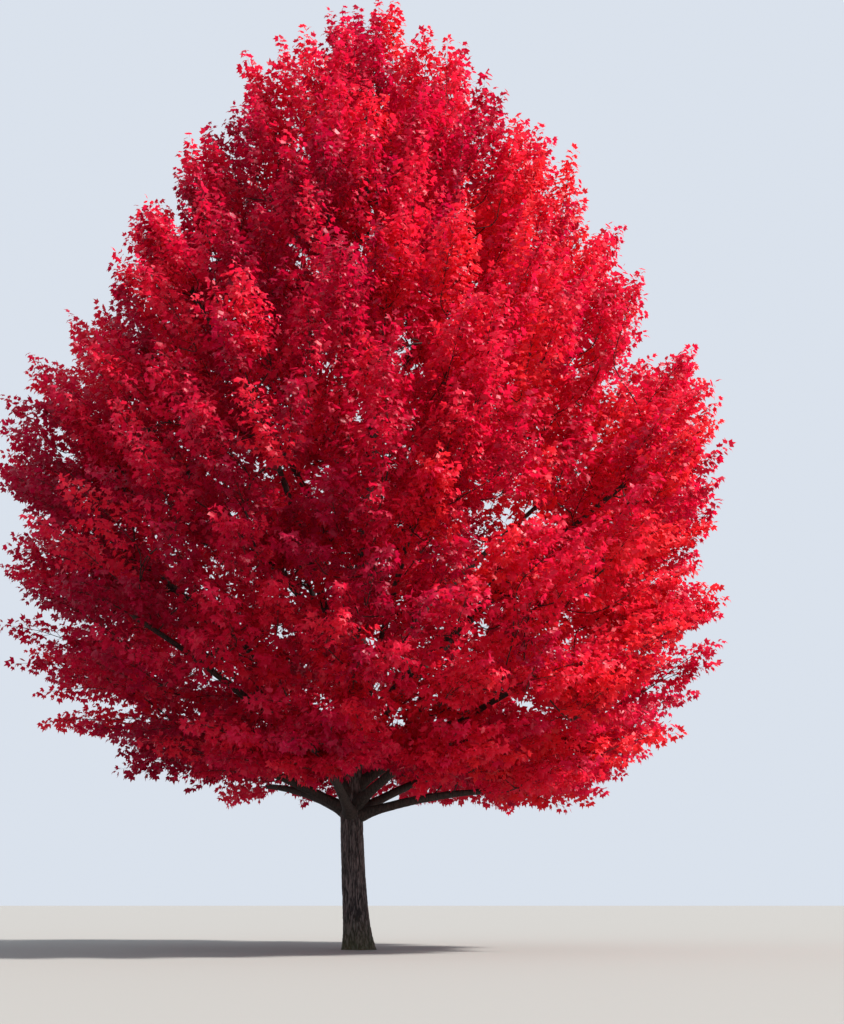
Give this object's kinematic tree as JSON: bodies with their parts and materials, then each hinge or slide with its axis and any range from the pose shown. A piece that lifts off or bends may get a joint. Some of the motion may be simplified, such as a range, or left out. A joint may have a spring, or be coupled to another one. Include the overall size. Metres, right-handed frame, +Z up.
{
  "type": "freeman maple tree",
  "caption": "Single-trunked broadleaf tree with rising boughs and a dense egg-shaped crown of lobed leaves in scarlet autumn colour.",
  "frame": {"origin": "middle of the flat cut under the trunk, at ground level", "axes": "+Z up the trunk, +X to the right and +Y away from the viewer of the picture"},
  "size_m": [11.412, 11.436, 15.0001],
  "materials": {
    "bark": "rough furrowed grey-brown bark",
    "limb_bark": "smoother grey-brown bark of boughs and twigs",
    "leaves": "satin scarlet autumn leaves"
  },
  "bodies": {
    "root": {"trunk": "bark", "bough_01": "limb_bark", "bough_02": "limb_bark", "bough_03": "limb_bark", "bough_04": "limb_bark", "bough_05": "limb_bark", "bough_06": "limb_bark", "bough_07": "limb_bark", "bough_08": "limb_bark", "bough_09": "limb_bark", "bough_10": "limb_bark", "bough_11": "limb_bark", "bough_12": "limb_bark", "bough_13": "limb_bark", "bough_14": "limb_bark", "bough_15": "limb_bark", "bough_16": "limb_bark", "bough_17": "limb_bark", "bough_18": "limb_bark", "bough_19": "limb_bark", "bough_20": "limb_bark", "bough_21": "limb_bark", "bough_22": "limb_bark", "bough_23": "limb_bark", "bough_24": "limb_bark", "bough_25": "limb_bark", "bough_26": "limb_bark", "foliage_01": "leaves", "foliage_02": "leaves", "foliage_03": "leaves", "foliage_04": "leaves", "foliage_05": "leaves", "foliage_06": "leaves", "foliage_07": "leaves", "foliage_08": "leaves", "foliage_09": "leaves", "foliage_10": "leaves", "foliage_11": "leaves", "foliage_12": "leaves", "foliage_13": "leaves", "foliage_14": "leaves", "foliage_15": "leaves", "foliage_16": "leaves", "foliage_17": "leaves", "foliage_18": "leaves", "foliage_19": "leaves", "foliage_20": "leaves", "foliage_21": "leaves", "foliage_22": "leaves", "foliage_23": "leaves", "foliage_24": "leaves", "foliage_25": "leaves", "foliage_26": "leaves", "foliage_top": "leaves"}
  },
  "joints": []
}
